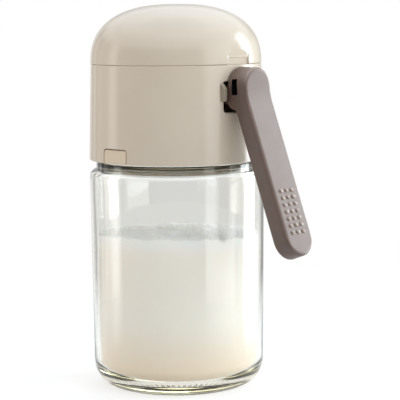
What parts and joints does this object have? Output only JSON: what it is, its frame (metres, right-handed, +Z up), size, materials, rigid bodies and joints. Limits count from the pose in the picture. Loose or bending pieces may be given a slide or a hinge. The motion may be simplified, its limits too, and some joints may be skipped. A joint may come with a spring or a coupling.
{
  "type": "metering seasoning dispenser",
  "caption": "Round glass seasoning jar with a screw-on plastic head: a side press lever works a metering double valve, and a domed hinged lid covers the spout.",
  "frame": {"origin": "centre of the jar's flat base", "axes": "+Z up along the jar's axis, +X towards the press lever, the lid's hinge at -X"},
  "size_m": [0.1022, 0.0686, 0.1485],
  "materials": {
    "glass": "clear, polished",
    "salt": "fine loose grains",
    "cream_plastic": "glossy moulded",
    "white_plastic": "satin moulded",
    "taupe_plastic": "fine satin",
    "silicone": "milky translucent silicone",
    "steel": "fine stainless wire and rod"
  },
  "bodies": {
    "jar": {"glass_jar": "glass", "salt_fill": "salt"},
    "seal": {"neck_gasket": "silicone"},
    "head": {"outer_housing": "cream_plastic", "screw_collar": "cream_plastic", "top_deck": "cream_plastic", "deck_screw_1": "steel", "deck_screw_2": "steel", "deck_screw_3": "steel", "chamber_seal": "silicone", "metering_chamber": "white_plastic", "outlet_spout": "white_plastic", "lever_pivot_pin": "steel", "lid_hinge_pin": "steel"},
    "lever": {"press_lever": "taupe_plastic", "lever_arm": "taupe_plastic"},
    "valve": {"lift_carrier": "white_plastic", "valve_rod": "steel", "rod_clip": "steel", "outlet_plug": "silicone", "inlet_plug": "silicone", "return_spring": "steel"},
    "lid": {"dome_lid": "cream_plastic", "lid_liner": "white_plastic", "spout_seal": "silicone"}
  },
  "joints": [
    {"name": "cap_lift", "type": "slide", "parent": "jar", "child": "seal", "axis": [0, 0, 1], "range_m": [0, 0.0051]},
    {"name": "cap_turn", "type": "hinge", "parent": "seal", "child": "head", "pos_m": [0, 0, 0.1035], "axis": [0, 0, 1], "range_deg": [0, 450]},
    {"name": "lever_press", "type": "hinge", "parent": "head", "child": "lever", "pos_m": [0.0322, 0, 0.1144], "axis": [0, 1, 0], "range_deg": [0, 20], "stiffness_Nm_per_rad": 0.8, "springref_deg": -11.46},
    {"name": "valve_lift", "type": "slide", "parent": "head", "child": "valve", "axis": [0, 0, 1], "range_m": [0, 0.00455], "deforming": ["return_spring"]},
    {"name": "lid_open", "type": "hinge", "parent": "head", "child": "lid", "pos_m": [-0.0356, 0, 0.1255], "axis": [0, -1, 0], "range_deg": [0, 115]}
  ],
  "couplings": [
    {"joint": "cap_lift", "follows": "cap_turn", "m_per_rad": 0.00063662},
    {"joint": "valve_lift", "follows": "lever_press", "m_per_rad": 0.012967}
  ]
}
